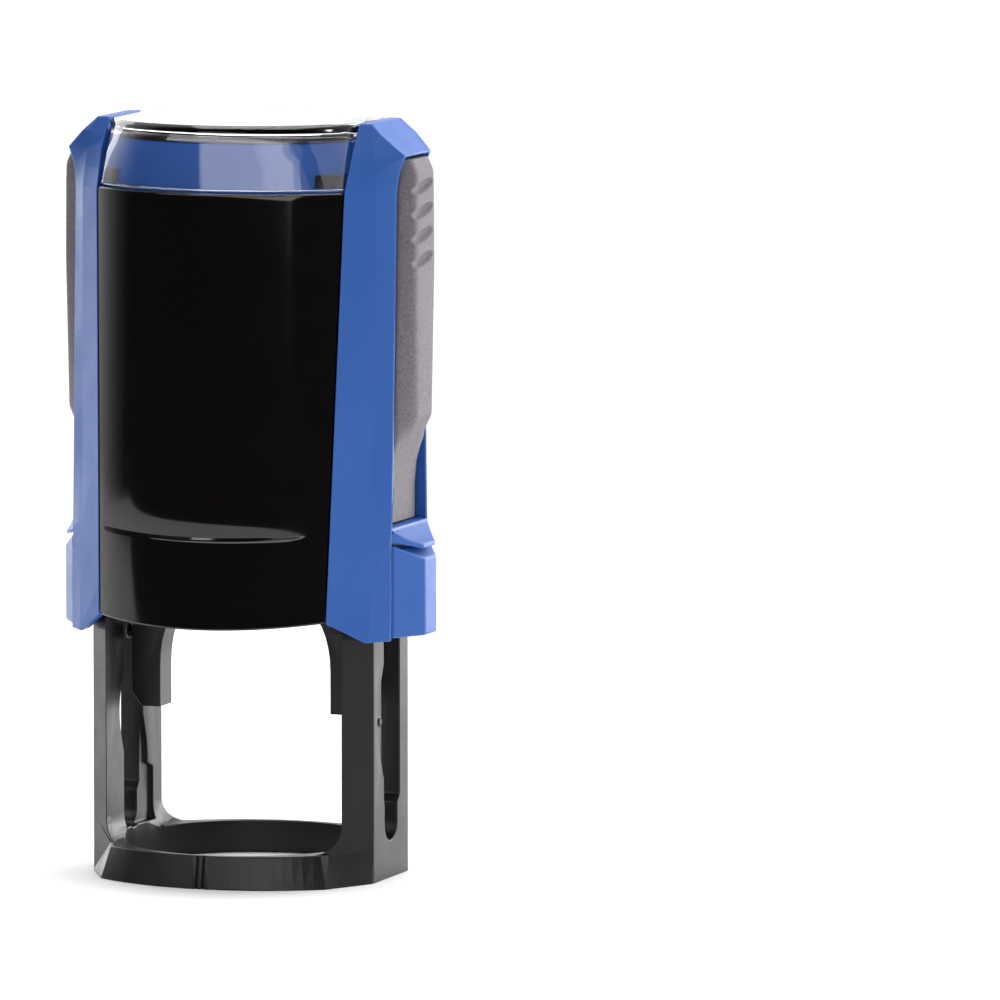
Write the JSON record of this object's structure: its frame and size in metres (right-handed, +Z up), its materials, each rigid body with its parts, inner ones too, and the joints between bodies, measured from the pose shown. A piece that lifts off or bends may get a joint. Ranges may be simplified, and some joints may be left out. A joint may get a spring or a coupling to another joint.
{
  "type": "self-inking stamp",
  "caption": "Self-inking round stamp: a blue sprung cap slides down a black frame while the die carrier turns over from its ink pad to the paper.",
  "frame": {"origin": "on the ground under the middle of the stamp, at rest with its cap up", "axes": "+Z up along the cap's travel, +X to the stamp's right-hand side, front looking along -Y"},
  "size_m": [0.047, 0.0364, 0.0924],
  "materials": {
    "cap_blue": "satin moulded blue plastic",
    "panel_black": "polished black plastic",
    "frame_black": "satin moulded black plastic",
    "grip_grey": "soft-touch grey with fine grain",
    "window_clear": "clear polished plastic",
    "card_white": "plain white card",
    "pad_felt": "felt soaked with blue ink",
    "die_rubber": "laser-cut rubber",
    "plate_grey": "matte grey plastic",
    "steel": "bright drawn steel"
  },
  "bodies": {
    "frame": {"base_frame": "frame_black", "ink_cartridge": "frame_black", "ink_pad": "pad_felt", "return_spring": "steel"},
    "cap": {"cap_shell": "cap_blue", "front_panel": "panel_black", "rear_panel": "panel_black", "index_card": "card_white", "grip_right": "grip_grey", "grip_left": "grip_grey"},
    "window": {"label_window": "window_clear"},
    "button_right": {"lock_button_right": "cap_blue"},
    "button_left": {"lock_button_left": "cap_blue"},
    "carrier": {"die_carrier": "frame_black", "text_plate": "plate_grey", "rubber_die": "die_rubber", "axle_pin_right": "frame_black", "axle_pin_left": "frame_black", "guide_pin_right": "frame_black", "guide_pin_left": "frame_black"}
  },
  "joints": [
    {"name": "cap_press", "type": "slide", "parent": "frame", "child": "cap", "axis": [0, 0, -1], "range_m": [0, 0.0255], "stiffness_N_per_m": 300, "springref_m": -0.012, "deforming": ["return_spring"]},
    {"name": "carrier_turn", "type": "hinge", "parent": "cap", "child": "carrier", "pos_m": [0, 0, 0.0322], "axis": [-1, 0, 0], "range_deg": [0, 180]},
    {"name": "button_right_press", "type": "slide", "parent": "cap", "child": "button_right", "axis": [-1, 0, 0], "range_m": [0, 0.0014], "stiffness_N_per_m": 1200, "springref_m": -0.0008},
    {"name": "button_left_press", "type": "slide", "parent": "cap", "child": "button_left", "axis": [1, 0, 0], "range_m": [0, 0.0014], "stiffness_N_per_m": 1200, "springref_m": -0.0008},
    {"name": "window_lift", "type": "slide", "parent": "cap", "child": "window", "axis": [0, 0, 1], "range_m": [0, 0.009]}
  ],
  "couplings": [
    {"joint": "carrier_turn", "follows": "cap_press", "rad_per_m": 123.2}
  ]
}
